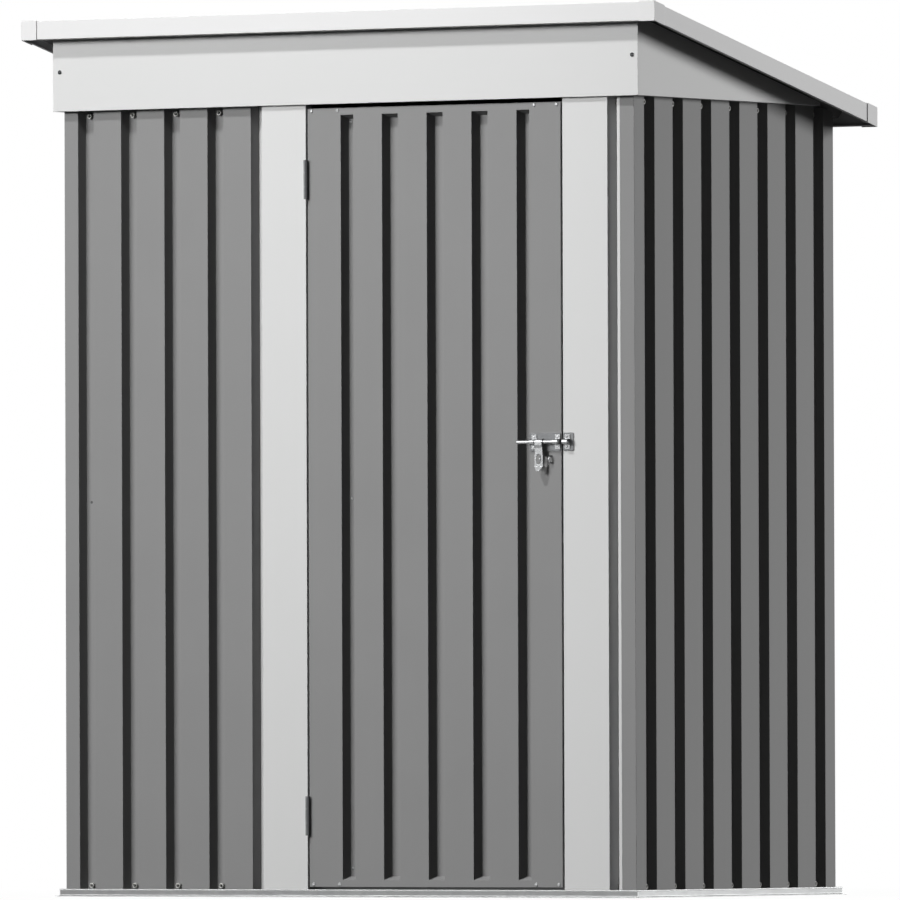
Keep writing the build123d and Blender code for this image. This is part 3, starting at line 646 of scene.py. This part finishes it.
def placeLatchRivets(node):
    low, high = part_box(node)
    guide, foot, sheet = (latchRivets[key] * mm for key in ("halfGuide", "halfFoot", "footSheet"))
    return [
        ((x, high.y - sheet, z), toFront)
        for x in sorted({low.x + guide, high.x - guide})
        for z in (low.z + foot, high.z - foot)
    ]


growOnPlaces(
    "guide_rivets", headTree, placeLatchRivets("bolt_guides"), latchRivets["head"], rivetZinc, "door",
)
growOnPlaces(
    "keeper_rivets", headTree, placeLatchRivets("keeper_loop"), latchRivets["head"], rivetZinc, "shed",
)
print("door screws and latch rivets set")


# 1 where the camera, a mirror or a glass looks straight at a surface, 0 for its light on others
def seenDirectly(tree):
    rays = addNode(tree, "ShaderNodeLightPath")
    seen = rays.outputs["Is Camera Ray"]
    for kind in ("Is Glossy Ray", "Is Transmission Ray"):
        seen = addNode(
            tree, "ShaderNodeMath", {"operation": "MAXIMUM"}, links={0: seen, 1: rays.outputs[kind]},
        ).outputs[0]
    return seen


# Floor: pale and matt. It is seen white all round and keeps the shadow beside the shed; inside the
# walls it lies in their shade, and the light that it throws back is as weak as in the photograph
floorLook = {
    "size": 60, "drop": 0.0005,  # metres
    # The thrown colour is far darker than the seen one: painted shade on the shed's lower parts from a
    # weak bounce off the floor
    "seen": "E6E6E6", "thrownShade": "4A4A4A",
    "near": 0.9, "far": 2.2, "nearShare": 0.982,  # white grows from its near share to all
    "inside": (0.69, 0.37, 0),  # half the room between the walls
    "roughness": 0.9,
}


def makeFloor():
    half, z = floorLook["size"] / 2, -floorLook["drop"]
    mesh = bpy.data.meshes.new("floor")
    corners = [(-half, -half, z), (half, -half, z), (half, half, z), (-half, half, z)]
    mesh.from_pydata(corners, [], [(0, 1, 2, 3)])
    floor = bpy.data.objects.new("floor", mesh)
    scene.collection.objects.link(floor)
    material, tree, shader = newMaterial("paleFloor")
    seen = seenDirectly(tree)
    color = addNode(
        tree, "ShaderNodeMix", {"data_type": "RGBA"},
        {"A": hexColor(floorLook["thrownShade"]), "B": hexColor(floorLook["seen"])}, {"Factor": seen},
    )
    tree.links.new(color.outputs["Result"], shader.inputs["Base Color"])
    shader.inputs["Roughness"].default_value = floorLook["roughness"]
    shader.inputs["Specular IOR Level"].default_value = 0
    place = addNode(tree, "ShaderNodeTexCoord").outputs["Object"]
    away = addNode(tree, "ShaderNodeVectorMath", {"operation": "LENGTH"}, links={0: place})
    share = addNode(
        tree, "ShaderNodeMapRange", {"interpolation_type": "SMOOTHSTEP"},
        {
            "From Min": floorLook["near"], "From Max": floorLook["far"],
            "To Min": floorLook["nearShare"], "To Max": 1.0,
        },
        {"Value": away.outputs["Value"]},
    )
    folded = addNode(tree, "ShaderNodeVectorMath", {"operation": "ABSOLUTE"}, links={0: place})
    beyond = addNode(
        tree, "ShaderNodeVectorMath", {"operation": "SUBTRACT"}, {1: floorLook["inside"]},
        {0: folded.outputs[0]},
    )
    parts = addNode(tree, "ShaderNodeSeparateXYZ", links={"Vector": beyond.outputs[0]})
    farther = addNode(
        tree, "ShaderNodeMath", {"operation": "MAXIMUM"},
        links={0: parts.outputs["X"], 1: parts.outputs["Y"]},
    )
    outside = addNode(
        tree, "ShaderNodeMath", {"operation": "GREATER_THAN"}, {1: 0}, {0: farther.outputs[0]},
    )
    seenOutside = addNode(
        tree, "ShaderNodeMath", {"operation": "MULTIPLY"},
        links={0: outside.outputs[0], 1: seen},
    )
    white = addNode(
        tree, "ShaderNodeMath", {"operation": "MULTIPLY"},
        links={0: share.outputs[0], 1: seenOutside.outputs[0]},
    )
    glow = addNode(tree, "ShaderNodeEmission", values={"Color": (1, 1, 1, 1), "Strength": 1.0})
    mix = addNode(
        tree, "ShaderNodeMixShader",
        links={0: white.outputs[0], 1: shader.outputs[0], 2: glow.outputs[0]},
    )
    tree.links.new(mix.outputs[0], tree.nodes["Material Output"].inputs["Surface"])
    mesh.materials.append(material)


makeFloor()

# Light, as the photograph's shadows tell it: a wide soft box at the front left, a small lamp high
# over the front, and a tall box far behind on the right that grazes the side wall. The front
# lamps have grids, and are aimed to the right, so that both ends of the front are as light.
# Places, aims and sizes are in metres, spreads in degrees, powers in watts
lamps = {
    "softBox": {
        "place": (-5.5, -8.2, 4.2), "aim": (0.4, -0.4, 0.9), "size": (5.0, 2.7), "spread": 60,
        "power": 99,
    },
    "highLamp": {
        "place": (-1.16, -3.28, 5.8), "aim": (0.5, -0.4, 1.2), "size": (0.38, 0.38), "spread": 90,
        "power": 36,
    },
    "sideBox": {
        "place": (13.8, 14.5, 4.1), "aim": (0.7, 0, 0.9), "size": (4.0, 6.0), "spread": 180,
        "power": 2850,
    },
}


def placeLamp(name, lamp):
    light = bpy.data.lights.new(name, "AREA")
    light.shape = "RECTANGLE"
    light.size, light.size_y = lamp["size"]
    light.spread = math.radians(lamp["spread"])
    light.energy = lamp["power"]
    spot = bpy.data.objects.new(name, light)
    place = Vector(lamp["place"])
    turn = (Vector(lamp["aim"]) - place).to_track_quat("-Z", "Y")
    spot.matrix_world = Matrix.Translation(place) @ turn.to_matrix().to_4x4()
    scene.collection.objects.link(spot)


for name, lamp in lamps.items():
    placeLamp(name, lamp)


skyStrength = 0.012


# World: white to the camera and in reflections, a faint sky as light
def makeSky(strength):
    world = bpy.data.worlds.new("studio")
    scene.world = world
    world.use_nodes = True
    tree = world.node_tree
    tree.nodes.clear()
    level = addNode(
        tree, "ShaderNodeMapRange",
        values={"To Min": strength, "To Max": 1.0},
        links={"Value": seenDirectly(tree)},
    )
    glow = addNode(
        tree, "ShaderNodeBackground",
        values={"Color": (1, 1, 1, 1)},
        links={"Strength": level.outputs["Result"]},
    )
    addNode(tree, "ShaderNodeOutputWorld", links={"Surface": glow.outputs[0]})


makeSky(skyStrength)
scene.view_settings.view_transform = "Standard"
print("floor, lamps and sky made")
